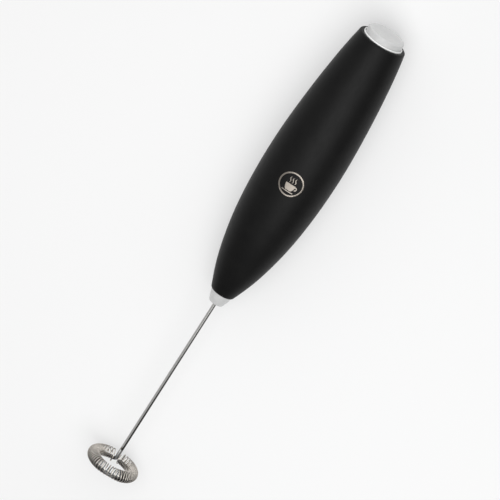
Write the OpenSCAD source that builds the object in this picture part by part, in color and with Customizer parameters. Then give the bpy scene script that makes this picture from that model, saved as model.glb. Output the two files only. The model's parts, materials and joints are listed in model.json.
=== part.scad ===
// Hand-held milk frother: a barrel-shaped battery handle with a press button on
// one end and a spinning wire whisk on the other. It lies on its back, on a small
// flat. +X runs along the handle towards the whisk, +Z is up through the front
// of the handle, and the origin is in the middle of the flat it rests on.

/* [Handle] */
// Radius of the handle at its widest
belly_r = 16.8; // [16.7:0.05:17.2]
// Thickness of the handle's shells
wall = 1.4; // [1.2:0.1:1.5]
// Depth of the flat on the back
flat_depth = 0.76; // [0.5:0.02:0.9]
// How far behind the middle the side seam runs
seam_drop = 3; // [2.6:0.1:3.4]
// Gap round the battery cover
cover_gap = 0.2; // [0.15:0.05:0.3]

/* [Button] */
// Radius of the push button
button_r = 8.7; // [8.5:0.05:8.75]
// How far the button stands out of the handle
button_proud = 3.6; // [2.6:0.1:4]
// Travel of the push button
button_travel = 1.6; // [1:0.1:1.8]

/* [Whisk] */
// Distance from the middle of the handle to the whisk ring
ring_x = 166; // [150:0.5:175]
// Radius of the ring's centre line
ring_r = 9.75; // [9:0.05:10.5]
// Radius of the wire that forms the stem and the ring
stem_r = 0.875; // [0.8:0.025:0.9]
// Outer radius of the fine coil on the ring
coil_r = 2.8; // [2.75:0.05:3.1]
// Radius of the fine coil's wire
wire_r = 0.23; // [0.2:0.01:0.25]
// Number of turns of the fine coil
coil_turns = 62; // [36:1:64]
// How much the turns bunch up at the two sides of the ring
coil_bunch = 0.33; // [0:0.01:0.35]
// How far the loose coil hangs below the ring it is threaded on
coil_sag = 0.85; // [0:0.05:0.85]
// How far the loose coil is pushed back towards the handle
coil_back = 1.15; // [0:0.05:1.15]

/* [Power] */
// Diameter of a battery cell
cell_d = 14.5; // [14.2:0.1:14.5]
// Length of a battery cell with its nub
cell_len = 50.5; // [49.5:0.1:50.5]
// Radius of the motor can
motor_r = 7.75; // [7.5:0.05:7.75]
// Half the distance between the flats of the motor can
motor_flat = 6; // [5.9:0.05:6]
// Radius of the motor shaft
shaft_r = 1; // [0.9:0.05:1]

/* [Hidden] */
$fn = 64;

axis_z = belly_r - flat_depth;   // height of the spin axis above the flat
top_x = -64.3;                   // plane of the rim round the button
end_x = 69.9;                    // plane of the rim round the nose
cover_x0 = -57;                  // battery cover, button end
cover_x1 = 30;                   // battery cover, motor end
mouth_r = 9.3;                   // opening for button and bezel
nose_r = 5;                      // opening for the nose
cell_y = cell_d / 2 + 0.05;
cell_x = cell_len / 2;
bulk_x = 28;                     // inner faces of the bulkheads at the cells' ends
screw_y = 4.2;                   // chassis screws, either side of the middle

// The barrel: [distance along the axis, how much thinner than the belly].
BARREL = [
    [-64.3, 5.85], [-60, 5.05], [-56, 4.4], [-50, 3.55], [-44, 2.85], [-38, 2.2],
    [-30, 1.47], [-22, 0.87], [-15, 0.44], [-8, 0.13], [0, 0], [8, 0.09],
    [15, 0.35], [22, 0.79], [30, 1.53], [38, 2.6], [44, 3.67], [50, 4.95],
    [54, 5.93], [58, 7.05], [62, 8.34], [66, 9.8], [69.9, 11.3]
];

// A smooth cubic through every station.
function seg_of(x, i = 0) =
    i >= len(BARREL) - 2 || x < BARREL[i + 1][0] ? i : seg_of(x, i + 1);
function drop_in(x, i) = let (
        n = len(BARREL) - 1,
        p1 = BARREL[i], p2 = BARREL[i + 1],
        p0 = i > 0 ? BARREL[i - 1] : 2 * p1 - p2,
        p3 = i < n - 1 ? BARREL[i + 2] : 2 * p2 - p1,
        h = p2[0] - p1[0], t = (x - p1[0]) / h,
        m1 = (p2[1] - p0[1]) / (p2[0] - p0[0]) * h,
        m2 = (p3[1] - p1[1]) / (p3[0] - p1[0]) * h,
        t2 = t * t, t3 = t2 * t
    ) (2 * t3 - 3 * t2 + 1) * p1[1] + (t3 - 2 * t2 + t) * m1
        + (3 * t2 - 2 * t3) * p2[1] + (t3 - t2) * m2;
function body_r(x) = belly_r - drop_in(x, seg_of(x));
function inner_r(x) = body_r(x) - wall;

// Places the children with their local Z along the spin axis, local Y as Y and
// local X pointing down to the back of the handle.
module on_axis() { translate([0, 0, axis_z]) rotate([0, 90, 0]) children(); }
// The same origin on the spin axis, with the axes left as they are.
module at_axis() { translate([0, 0, axis_z]) children(); }
module disc(x0, x1, r) { on_axis() translate([0, 0, x0]) cylinder(h = x1 - x0, r = r); }
module tube(x0, x1, r1, r0) {
    on_axis() translate([0, 0, x0]) difference() {
        cylinder(h = x1 - x0, r = r1);
        translate([0, 0, -1]) cylinder(h = x1 - x0 + 2, r = r0);
    }
}
// Box between two corners, heights measured from the spin axis.
module block(a, b) {
    at_axis() translate(a) cube([b[0] - a[0], b[1] - a[1], b[2] - a[2]]);
}
// Radius [r] against distance [x] turned round the spin axis.
module turned(points) { on_axis() rotate_extrude() polygon(points); }

// ---- Handle shells ----
lip_r = 0.7;
function barrel_points(x0, x1, n, off) =
    [for (i = [0 : n]) let (x = x0 + (x1 - x0) * i / n) [body_r(x) - off, x]];
module barrel_solid(x0, x1, n, off) {
    turned(concat([[0, x0]], barrel_points(x0, x1, n, off), [[0, x1]]));
}
module whole_shell() {
    difference() {
        turned(concat(
            [[mouth_r, top_x + 0.25], [mouth_r + 0.25, top_x]],
            [for (a = [0 : 15 : 90])
                [body_r(top_x + lip_r) - lip_r + lip_r * sin(a), top_x + lip_r - lip_r * cos(a)]],
            barrel_points(top_x + 2, end_x - 0.4, 60, 0),
            [[body_r(end_x) - 0.2, end_x - 0.08], [body_r(end_x) - 0.35, end_x],
             [nose_r + 0.05, end_x], [nose_r + 0.05, 65.4], [inner_r(63.6), 65.4],
             [inner_r(63.6), 63.6]],
            [for (i = [0 : 56]) let (x = 63 - 124.2 * i / 56) [inner_r(x), x]],
            [[inner_r(-61.2), -61.8], [mouth_r, -61.8]]
        ));
        // the flat on the back
        translate([-40, -20, -10]) cube([80, 40, 10]);
    }
}
module rear_half(x0, x1, drop) {
    block([x0, -20, -20], [x1, 20, -drop]);
}

module badge_zone(r, lift, depth) {
    intersection() {
        difference() {
            barrel_solid(-4, 16, 14, -lift);
            barrel_solid(-5, 17, 14, depth);
        }
        at_axis() translate([6.2, 0, 8]) cylinder(h = 14, r = r);
    }
}

module front_housing() color([0.05, 0.05, 0.05]) {
    difference() {
        union() {
            difference() {
                whole_shell();
                rear_half(cover_x0 - 0.5, 64.6, seam_drop);
            }
            // posts that the chassis is screwed to
            for (y = [-screw_y, screw_y])
                at_axis() translate([-40, y, 9.55]) cylinder(h = 2.4, r = 2.2);
        }
        for (y = [-screw_y, screw_y]) at_axis() translate([-40, y, 9]) cylinder(h = 2.7, r = 0.95);
        // room for the sides of the cells
        for (y = [-cell_y, cell_y])
            on_axis() translate([0, y, -cell_x - 0.5]) cylinder(h = cell_len + 1, r = cell_d / 2 + 0.1);
        badge_zone(5.78, 1, 0.4);
    }
}

module battery_cover() color([0.06, 0.06, 0.06]) {
    difference() {
        intersection() {
            whole_shell();
            rear_half(cover_x0, cover_x1, seam_drop + cover_gap);
        }
        // finger notch at the button end
        at_axis() translate([cover_x0 - 2.2, 0, -14.5]) cylinder(h = 6, r = 4.2);
    }
    // ribs that steady the cells
    for (x = [-16, 14])
        intersection() {
            disc(x, x + 1.2, body_r(x) - wall / 2);
            block([x - 1, -10, -20], [x + 2, 10, -7.7]);
        }
    // hook tabs that reach under the motor cover
    for (y = [-9, 5])
        intersection() {
            union() {
                block([27.2, y, -14.6], [29.6, y + 4, -9.4]);
                block([27.2, y, -10.3], [32.6, y + 4, -9.4]);
            }
            barrel_solid(26, 34, 6, wall + 0.12);
        }
    for (y = [-9, 5])
        intersection() {
            block([27.2, y, -14.6], [29.6, y + 4, -9.4]);
            barrel_solid(26, 29.8, 4, wall / 2);
        }
}

module motor_cover() color([0.05, 0.05, 0.05]) {
    difference() {
        union() {
            intersection() {
                whole_shell();
                rear_half(cover_x1 + 0.25, 64.5, seam_drop + 0.08);
            }
            at_axis() translate([37, 0, -13.4]) cylinder(h = 1.4, r = 2.6);
        }
        at_axis() translate([37, 0, -20]) cylinder(h = 12, r = 1.3);
        at_axis() translate([37, 0, -20]) cylinder(h = 20 - body_r(37) + 0.75, r = 2.3);
    }
}

module emblem_badge() color([0.65, 0.62, 0.58]) badge_zone(5.75, 0.05, 0.36);

// ---- Button ----
cap_x = top_x - button_proud;
module push_button() color([0.8, 0.8, 0.79]) {
    turned([
        [0, cap_x + 0.35], [4, cap_x + 0.22], [7, cap_x + 0.02], [7.5, cap_x],
        [button_r - 0.6, cap_x + 0.12], [button_r - 0.25, cap_x + 0.4], [button_r - 0.05, cap_x + 0.9],
        [button_r, -61.5], [9.7, -61.5], [9.7, -60.7], [button_r - 0.9, -60.7],
        [button_r - 0.95, cap_x + 2.2], [button_r - 1.4, cap_x + 1.5],
        [2.2, cap_x + 1.5], [2, cap_x + 1.7], [2, -60.1], [0, -60.1]
    ]);
}
module button_bezel() color([0.88, 0.88, 0.87])
    turned([[button_r + 0.15, top_x - 0.3], [button_r + 0.28, top_x - 0.56], [mouth_r - 0.16, top_x - 0.56],
        [mouth_r - 0.02, top_x - 0.36], [mouth_r - 0.02, -62.1], [button_r + 0.15, -62.1]]);

// ---- Coil springs ----
// A closed wire tube: centre points, wire radius, corners round the wire.
function unit(v) = v / norm(v);
function wire_frame(p, i) = let (
        n = len(p) - 1,
        t = unit(p[min(i + 1, n)] - p[max(i - 1, 0)]),
        side = unit(cross(t, [0.31, 0.17, 0.93])),
        up = cross(side, t)
    ) [side, up];
module wire(p, r, m) {
    n = len(p);
    pts = [for (i = [0 : n - 1]) let (f = wire_frame(p, i))
        for (j = [0 : m - 1]) let (a = 360 * j / m)
            p[i] + r * (cos(a) * f[0] + sin(a) * f[1])];
    sides = [for (i = [0 : n - 2]) for (j = [0 : m - 1]) let (k = (j + 1) % m)
        each [[i * m + j, i * m + k, (i + 1) * m + k], [i * m + j, (i + 1) * m + k, (i + 1) * m + j]]];
    polyhedron(points = pts, faces = concat(
        [[for (j = [m - 1 : -1 : 0]) j]], sides, [[for (j = [0 : m - 1]) (n - 1) * m + j]]));
}
// Turns of wire between two radii along the axis.
function helix(r0, r1, z0, z1, turns, step) =
    [for (i = [0 : step * turns]) let (s = i / (step * turns), a = 360 * turns * s)
        [(r0 + (r1 - r0) * s) * cos(a), (r0 + (r1 - r0) * s) * sin(a), z0 + (z1 - z0) * s]];

module button_spring() color([0.75, 0.75, 0.77])
    on_axis() wire(helix(3.6, 3.6, cap_x + 1.8, -56.8, 6, 14), 0.25, 6);

module battery_spring_1() color([0.8, 0.8, 0.8])
    on_axis() translate([0, cell_y, 0]) wire(helix(4.4, 2.4, -27.3, -cell_x - 0.35, 3, 14), 0.28, 6);
module battery_spring_2() color([0.8, 0.8, 0.8])
    on_axis() translate([0, -cell_y, 0]) wire(helix(4.4, 2.4, 27.3, cell_x + 0.35, 3, 14), 0.28, 6);

// ---- Nose and whisk ----
module nose_cone() color([0.76, 0.76, 0.76])
    turned([
        [1.35, 75.5], [2.9, 75.5], [3.2, 75.38], [3.45, 75.05], [3.62, 74.6], [3.9, 73.85],
        [4.3, 72.8], [4.66, 71.5], [4.92, 70.3], [nose_r, 69.9], [nose_r, 65.35],
        [6.1, 65.35], [6.1, 64.5], [3.1, 64.5], [3.1, 68.9], [2.02, 68.9], [2.02, 74.1], [1.35, 74.1]
    ]);
module stem_bush() color([0.72, 0.5, 0.26]) tube(69.1, 74.05, 2, stem_r + 0.06);

// The stem leaves the axis at bend_x, runs out to the ring and turns into it.
bend_r = 3;                      // radius of the first bend
crank = 45;                      // angle of the crank to the axis
lead = 9;                        // where the ring proper begins, from its lowest point
lead_s = ring_r * tan(lead);     // straight length from the corner to the ring
corner_z = -ring_r / cos(lead);
corner_x = ring_x;
bend_x = corner_x + corner_z / tan(crank);
turn = acos(-sin(crank) * sin(lead));
turn_r = lead_s / tan(turn / 2);
function ring_point(a, r = ring_r) = [ring_x, -r * sin(a), -r * cos(a)];
crank_dir = [cos(crank), 0, -sin(crank)];
ring_dir = [0, -cos(lead), sin(lead)];
// Points of an arc that starts at p along u and bends towards v.
function arc_points(p, u, v, angle, r, n) = let (side = unit(v - (v * u) * u))
    [for (i = [0 : n]) let (a = angle * i / n) p + side * r * (1 - cos(a)) + u * r * sin(a)];
stem_b = bend_r * tan(crank / 2);
stem_out = [bend_x, 0, 0] + stem_b * crank_dir;
stem_run = norm([corner_x, 0, corner_z] - stem_out) - lead_s;
stem_path = concat(
    [[bend_x - stem_b - 1.5, 0, 0]],
    arc_points([bend_x - stem_b, 0, 0], [1, 0, 0], crank_dir, crank, bend_r, 7),
    arc_points(stem_out + stem_run * crank_dir, crank_dir, ring_dir, turn, turn_r, 10),
    [for (i = [1 : 68]) ring_point(lead + 5 * i)]);
module whisk_stem() color([0.75, 0.75, 0.76]) at_axis() {
    translate([63.3, 0, 0]) rotate([0, 90, 0]) cylinder(h = bend_x - stem_b - 63.8, r = stem_r);
    wire(stem_path, stem_r * 0.992, 12);
}
coil_a0 = 7.4;
coil_a1 = 355.4;
coil_step = 12;
function coil_radius(s) = let (full = coil_r - wire_r, tight = stem_r + wire_r * 0.8, e = 0.006)
    s < e ? tight + (full - tight) * (s / e) : s > 1 - e ? tight + (full - tight) * ((1 - s) / e) : full;
function coil_point(i, n) = let (
        s = i / n, a = coil_a0 + (coil_a1 - coil_a0) * s, r = coil_radius(s),
        b = 360 * coil_turns * (s - coil_bunch * sin(720 * s) / (4 * PI)),
        ease = min(1, s / 0.02, (1 - s) / 0.02)
    ) ring_point(a, ring_r + r * cos(b)) + [r * sin(b) - coil_back * ease, 0, -coil_sag * ease];
module whisk_coil() color([0.82, 0.82, 0.83])
    at_axis() wire([for (i = [0 : coil_turns * coil_step]) coil_point(i, coil_turns * coil_step)], wire_r, 4);

module coupling_sleeve() color([0.85, 0.7, 0.35])
    on_axis() difference() {
        translate([0, 0, 59]) cylinder(h = 8.4, r = 2.3);
        translate([0, 0, 58]) cylinder(h = 5.1, r = shaft_r + 0.004);
        translate([0, 0, 63.1]) cylinder(h = 6, r = stem_r + 0.004);
    }

// ---- Inner frame ----
module chassis() color([0.3, 0.3, 0.32]) {
    difference() {
        union() {
            // spine in front of the cells
            block([-50, -6.4, 7.9], [31, 6.4, 9.5]);
            block([-46, -8, 7.9], [-28.5, 8, 9.5]);
            // plate that carries the switch
            intersection() {
                disc(-50.2, -48.6, inner_r(-50) - 0.3);
                block([-51, -20, -8.3], [-48, 20, 20]);
            }
            // plates at the cells' ends
            for (x = [-bulk_x - 1.6, bulk_x])
                intersection() {
                    disc(x, x + 1.6, inner_r(30) - 0.3);
                    block([x - 1, -20, -8.3], [x + 3, 20, 20]);
                }
            // side rails from the switch to the cells
            for (y = [-7.8, 6.4])
                block([-48.7, y, 1.6], [-29.5, y + 1.4, 8.2]);
            // half pipe in front of the motor, and the ring that grips it
            intersection() {
                tube(29.5, 49.5, 9.8, 8.6);
                block([29, -20, 2], [50, 20, 20]);
            }
            tube(43.5, 49.5, 9.8, 8.6);
            // rib and boss for the motor cover's screw
            block([29, -1.2, -11], [36, 1.2, -6.9]);
            block([29, -1.2, -8.3], [29.6, 1.2, -6.9]);
            at_axis() translate([37, 0, -11.95]) cylinder(h = 5.05, r = 2.6);
        }
        // holes for the chassis screws
        for (y = [-screw_y, screw_y]) at_axis() translate([-40, y, 5]) cylinder(h = 8, r = 1.25);
        at_axis() translate([37, 0, -14]) cylinder(h = 6.4, r = 0.95);
        // ways for the wires and the contacts' tabs
        for (x = [-52, -30.5, 27]) block([x, -2.4, 4.6], [x + 4, 2.4, 7.6]);
        for (y = [-1, 1]) block([-31, y * cell_y - 1.1, -1.1], [-27, y * cell_y + 1.1, 1.1]);
        for (y = [-2.9, 2.9]) block([-51, y - 1, -4], [-48, y + 1, -3.1]);
    }
}
module chassis_screws() color([0.6, 0.6, 0.62])
    for (y = [-screw_y, screw_y]) at_axis() translate([-40, y, 0]) difference() {
        union() {
            translate([0, 0, 6.5]) cylinder(h = 1.4, r = 2);
            translate([0, 0, 7.8]) cylinder(h = 3.7, r = 0.94);
        }
        translate([-1.3, -0.25, 6]) cube([2.6, 0.5, 1.1]);
        translate([-0.25, -1.3, 6]) cube([0.5, 2.6, 1.1]);
    }
module cover_screw() color([0.6, 0.6, 0.62])
    at_axis() translate([37, 0, -body_r(37)]) difference() {
        union() {
            translate([0, 0, 0.1]) cylinder(h = 0.64, r = 2);
            translate([0, 0, 0.7]) cylinder(h = 5.4, r = 0.94);
        }
        translate([-1.3, -0.25, -0.5]) cube([2.6, 0.5, 1]);
        translate([-0.25, -1.3, -0.5]) cube([0.5, 2.6, 1]);
    }

// ---- Cells and contacts ----
module cell(dir) {
    on_axis() mirror([0, 0, dir < 0 ? 1 : 0]) rotate_extrude() polygon([
        [0, -cell_x], [cell_d / 2 - 1.4, -cell_x], [cell_d / 2 - 1.4, -cell_x + 0.3],
        [cell_d / 2 - 0.6, -cell_x + 0.3], [cell_d / 2, -cell_x + 0.9], [cell_d / 2, cell_x - 1.8],
        [cell_d / 2 - 0.5, cell_x - 1.3], [cell_d / 2 - 1.4, cell_x - 1.2], [2.8, cell_x - 1.2],
        [2.75, cell_x - 0.2], [2.5, cell_x], [0, cell_x]]);
}
module battery_cell_1() color([0.2, 0.45, 0.3]) translate([0, cell_y, 0]) cell(1);
module battery_cell_2() color([0.2, 0.45, 0.3]) translate([0, -cell_y, 0]) cell(-1);
// A plate on a bulkhead with a raised boss for the nub.
module contact_plate(x0, x1, y) { block([x0, y - 4.2, -5.2], [x1, y + 4.2, 4.2]); }
module contact_positive() color([0.85, 0.8, 0.6]) {
    contact_plate(-bulk_x, -bulk_x + 0.4, -cell_y);
    on_axis() translate([0, -cell_y, -bulk_x + 0.3]) cylinder(h = bulk_x - cell_x - 0.32, r1 = 3, r2 = 1.6);
    block([-31.2, -cell_y - 0.9, -0.9], [-bulk_x + 0.1, -cell_y + 0.9, 0.9]);
}
module contact_negative() color([0.85, 0.8, 0.6]) {
    contact_plate(-bulk_x, -bulk_x + 0.4, cell_y);
    block([-31.2, cell_y - 0.9, -0.9], [-bulk_x + 0.1, cell_y + 0.9, 0.9]);
}
module contact_bridge() color([0.85, 0.8, 0.6]) {
    block([bulk_x - 0.4, -cell_y - 4.2, -5.2], [bulk_x, cell_y + 4.2, 4.2]);
    on_axis() translate([0, cell_y, cell_x + 0.02]) cylinder(h = bulk_x - cell_x - 0.32, r1 = 1.6, r2 = 3);
}

// ---- Switch ----
module switch_body() color([0.12, 0.12, 0.12]) difference() {
    block([-56.5, -4.6, -4.6], [-50.2, 4.6, 4.6]);
    disc(-57, -52, 1.6);
}
module switch_plunger() color([0.9, 0.9, 0.85]) disc(-60.05, -54.4, 1.5);
module switch_terminals() color([0.85, 0.8, 0.6])
    for (y = [-2.9, 2.9]) block([-50.2, y - 0.8, 5.2 - 9], [-47.6, y + 0.8, 5.2 - 8.5]);

// ---- Motor ----
module flatted(x0, x1, r, f) {
    intersection() { disc(x0, x1, r); block([x0 - 1, -20, -f], [x1 + 1, 20, f]); }
}
module motor_can() color([0.72, 0.73, 0.74]) difference() {
    union() {
        flatted(35.5, 56, motor_r, motor_flat);
        disc(55.5, 57.4, 2.7);
    }
    flatted(35, 55.2, motor_r - 0.6, motor_flat - 0.6);
    disc(54, 58, 2.02);
}
module motor_end_cap() color([0.92, 0.9, 0.85]) difference() {
    union() {
        flatted(31.4, 35.5, motor_r - 0.05, motor_flat - 0.05);
        flatted(35.4, 36.6, motor_r - 0.65, motor_flat - 0.65);
    }
    disc(33.9, 37, 4.6);
    disc(31, 35, 2.02);
    for (y = [-1, 1]) block([31, y * 5.5 - 1.1, -0.35], [38, y * 5.5 + 1.1, 0.35]);
}
module motor_magnets() color([0.25, 0.24, 0.24])
    for (m = [0, 1]) mirror([0, m, 0]) intersection() {
        tube(39.5, 52.8, motor_r - 0.63, 5.5);
        block([39, 2.8, -4.6], [54, 10, 4.6]);
    }
module motor_bushes() color([0.72, 0.5, 0.26]) {
    tube(31.7, 33.8, 2, shaft_r + 0.04);
    tube(55, 57.3, 2, shaft_r + 0.04);
}
module motor_brushes() color([0.8, 0.55, 0.3])
    for (y = [-1, 1]) {
        block([36, y * 2.6 - 0.2, -0.8], [38.2, y * 2.6 + 0.2, 0.8]);
        block([36, y > 0 ? 2.7 : -5.4, -0.3], [36.5, y > 0 ? 5.4 : -2.7, 0.3]);
    }
module motor_terminals() color([0.85, 0.8, 0.6])
    for (y = [-1, 1]) block([29.9, y * 5.5 - 1, -0.3], [36, y * 5.5 + 1, 0.3]);
module motor_shaft() color([0.8, 0.8, 0.82]) disc(32.2, 63, shaft_r);
module pole_shape(extra) {
    circle(r = 2.2 + extra);
    for (a = [0, 120, 240]) rotate(a) {
        translate([0, -0.8 - extra]) square([4.7, 1.6 + 2 * extra]);
        intersection() {
            difference() { circle(r = 5.1 + extra); circle(r = 4.5 - extra); }
            polygon([[0, 0], [8, -8.6 - extra], [8, 8.6 + extra]]);
        }
    }
}
module armature_core() color([0.5, 0.5, 0.52])
    on_axis() translate([0, 0, 41]) linear_extrude(10) difference() {
        pole_shape(0);
        circle(r = shaft_r + 0.004);
    }
module armature_windings() color([0.72, 0.38, 0.16]) on_axis() {
    translate([0, 0, 41]) linear_extrude(10) difference() {
        circle(r = 4.42);
        circle(r = 2.28);
        for (a = [0, 120, 240]) rotate(a) translate([0, -0.88]) square([6, 1.76]);
    }
    for (x = [39.5, 51.05]) translate([0, 0, x]) difference() {
        cylinder(h = 1.45, r = 4.35);
        translate([0, 0, -1]) cylinder(h = 4, r = 1.4);
    }
}
module commutator() color([0.75, 0.48, 0.25]) tube(35.8, 39, 2.3, shaft_r + 0.004);
module motor_damper() color([0.15, 0.15, 0.15]) difference() {
    disc(43.6, 49.4, 8.58);
    flatted(43, 50, motor_r + 0.01, motor_flat + 0.01);
}
module suppressor_capacitor() color([0.78, 0.5, 0.2])
    at_axis() translate([30.4, 0, -3.4]) {
        rotate([0, 90, 0]) cylinder(h = 0.9, r = 2);
        for (y = [-1, 1]) translate([0.45, y * 2.6, 0.6]) rotate([90 * y, 0, 0])
            translate([0, 0, -1]) cylinder(h = 2.6, r = 0.2);
    }

// ---- Wires: round-cornered runs between a few chosen points ----
function rounded(p, n) = concat([p[0]],
    [for (i = [1 : len(p) - 2]) let (
            a = p[i] + 0.5 * min(1, 5 / norm(p[i - 1] - p[i])) * (p[i - 1] - p[i]),
            c = p[i] + 0.5 * min(1, 5 / norm(p[i + 1] - p[i])) * (p[i + 1] - p[i]))
        for (j = [0 : n]) let (t = j / n)
            (1 - t) * (1 - t) * a + 2 * t * (1 - t) * p[i] + t * t * c],
    [p[len(p) - 1]]);
module wire_run(points, r) { at_axis() wire(rounded(points, 4), r, 8); }
module wire_red() color([0.75, 0.1, 0.08])
    wire_run([[-47.9, 2.9, -2.74], [-45, 1.6, 4.6], [-38, -1.1, 5.9], [30.5, -1.1, 5.9], [30.5, -5.4, 0.9]], 0.55);
module wire_black() color([0.08, 0.08, 0.08])
    wire_run([[-31.8, 6.8, 0.3], [-35.5, 3.2, 3.4], [-33.4, 1.1, 5.9], [30.5, 1.1, 5.9], [30.5, 5.4, 0.9]], 0.55);
module wire_switch() color([0.75, 0.75, 0.72])
    wire_run([[-47.9, -2.9, -2.74], [-44, -4.4, -1], [-34, -6, 0], [-31.8, -6.6, 0.2]], 0.5);

front_housing();
battery_cover();
motor_cover();
emblem_badge();
push_button();
button_bezel();
button_spring();
nose_cone();
stem_bush();
whisk_stem();
whisk_coil();
coupling_sleeve();
chassis();
chassis_screws();
cover_screw();
battery_cell_1();
battery_cell_2();
battery_spring_1();
battery_spring_2();
contact_positive();
contact_negative();
contact_bridge();
switch_body();
switch_plunger();
switch_terminals();
motor_can();
motor_end_cap();
motor_magnets();
motor_bushes();
motor_brushes();
motor_terminals();
motor_shaft();
armature_core();
armature_windings();
commutator();
motor_damper();
suppressor_capacitor();
wire_red();
wire_black();
wire_switch();
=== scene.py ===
import json
import math

import bmesh
import bpy
from mathutils import Matrix, Vector
from mathutils.kdtree import KDTree


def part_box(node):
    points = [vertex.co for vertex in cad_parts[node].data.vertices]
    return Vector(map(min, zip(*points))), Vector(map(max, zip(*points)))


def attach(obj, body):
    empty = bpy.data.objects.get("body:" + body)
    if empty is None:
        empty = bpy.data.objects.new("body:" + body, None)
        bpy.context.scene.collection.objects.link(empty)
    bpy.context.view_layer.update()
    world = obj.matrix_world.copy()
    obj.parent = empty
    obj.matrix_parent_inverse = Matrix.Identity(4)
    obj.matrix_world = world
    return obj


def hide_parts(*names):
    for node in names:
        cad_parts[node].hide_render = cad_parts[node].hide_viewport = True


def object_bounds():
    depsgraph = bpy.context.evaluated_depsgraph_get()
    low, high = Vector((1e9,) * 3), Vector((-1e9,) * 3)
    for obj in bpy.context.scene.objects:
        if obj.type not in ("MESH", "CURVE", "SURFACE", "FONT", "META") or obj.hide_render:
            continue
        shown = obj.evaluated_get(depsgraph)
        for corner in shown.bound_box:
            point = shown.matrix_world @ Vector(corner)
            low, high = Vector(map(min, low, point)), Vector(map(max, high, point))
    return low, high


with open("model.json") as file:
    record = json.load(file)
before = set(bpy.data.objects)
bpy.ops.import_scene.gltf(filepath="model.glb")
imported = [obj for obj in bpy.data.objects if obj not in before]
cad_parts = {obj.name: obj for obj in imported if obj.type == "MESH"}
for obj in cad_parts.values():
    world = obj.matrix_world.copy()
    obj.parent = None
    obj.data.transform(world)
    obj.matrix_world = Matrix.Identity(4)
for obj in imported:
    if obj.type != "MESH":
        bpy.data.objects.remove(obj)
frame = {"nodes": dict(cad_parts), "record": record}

cad_lo, cad_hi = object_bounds()
cad_lo, cad_hi = list(cad_lo), list(cad_hi)
scene = bpy.context.scene
MM = 0.001

# ---------------------------------------------------------------- dimensions
# Millimetres, along the spin axis (x) and out from it, as in the CAD source.
cover_lo, cover_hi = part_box("battery_cover")
nose_lo, nose_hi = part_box("nose_cone")
AXIS_Z = (nose_lo.z + nose_hi.z) / 2 / MM
BELLY_R = 16.797
WALL = 1.4
TOP_X, END_X = -64.3, 69.9
MOUTH_R, NOSE_R, LIP_R = 9.3, 5.0, 0.7
SEAM, SEAM_COVER, SEAM_MOTOR = 3.0, 3.2, 3.08
BUTTON_R = 8.7
CAP_X = TOP_X - 3.6
BARREL = [
    (-64.3, 5.85), (-60, 5.05), (-56, 4.4), (-50, 3.55), (-44, 2.85), (-38, 2.2),
    (-30, 1.47), (-22, 0.87), (-15, 0.44), (-8, 0.13), (0, 0), (8, 0.09),
    (15, 0.35), (22, 0.79), (30, 1.53), (38, 2.6), (44, 3.67), (50, 4.95),
    (54, 5.93), (58, 7.05), (62, 8.34), (66, 9.8), (69.9, 11.3),
]


def body_r(x):
    n = len(BARREL) - 1
    i = 0
    while i < n - 1 and x >= BARREL[i + 1][0]:
        i += 1
    p1, p2 = BARREL[i], BARREL[i + 1]
    p0 = BARREL[i - 1] if i > 0 else (2 * p1[0] - p2[0], 2 * p1[1] - p2[1])
    p3 = BARREL[i + 2] if i < n - 1 else (2 * p2[0] - p1[0], 2 * p2[1] - p1[1])
    h = p2[0] - p1[0]
    t = (x - p1[0]) / h
    m1 = (p2[1] - p0[1]) / (p2[0] - p0[0]) * h
    m2 = (p3[1] - p1[1]) / (p3[0] - p1[0]) * h
    t2, t3 = t * t, t * t * t
    drop = (2 * t3 - 3 * t2 + 1) * p1[1] + (t3 - 2 * t2 + t) * m1 + (3 * t2 - 2 * t3) * p2[1] + (t3 - t2) * m2
    return BELLY_R - drop


def inner_r(x):
    return body_r(x) - WALL


# ---------------------------------------------------------------- mesh tools
def make_object(name, verts, faces):
    """An object from points in millimetres measured from the spin axis."""
    mesh = bpy.data.meshes.new(name)
    mesh.from_pydata([(x * MM, y * MM, (z + AXIS_Z) * MM) for x, y, z in verts], [], faces)
    mesh.update()
    ob = bpy.data.objects.new(name, mesh)
    scene.collection.objects.link(ob)
    return ob


def tidy(ob, merge=0.0):
    bm = bmesh.new()
    bm.from_mesh(ob.data)
    if merge:
        bmesh.ops.remove_doubles(bm, verts=bm.verts, dist=merge * MM)
    bmesh.ops.recalc_face_normals(bm, faces=bm.faces)
    bm.to_mesh(ob.data)
    bm.free()
    ob.data.update()


def shade(ob, angle=30):
    """Smooth shading that breaks at edges sharper than the angle."""
    me = ob.data
    me.polygons.foreach_set("use_smooth", [True] * len(me.polygons))
    me.set_sharp_from_angle(angle=math.radians(angle))
    me.update()


def apply_modifiers(ob):
    dg = bpy.context.evaluated_depsgraph_get()
    dg.update()
    done = bpy.data.meshes.new_from_object(ob.evaluated_get(dg), depsgraph=dg)
    old = ob.data
    ob.modifiers.clear()
    ob.data = done
    done.name = ob.name
    bpy.data.meshes.remove(old)


def boolean(ob, cutter, how):
    m = ob.modifiers.new("b", "BOOLEAN")
    m.operation = how
    m.solver = "EXACT"
    m.object = cutter
    bpy.context.view_layer.update()
    apply_modifiers(ob)
    data = cutter.data
    bpy.data.objects.remove(cutter)
    bpy.data.meshes.remove(data)


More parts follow.
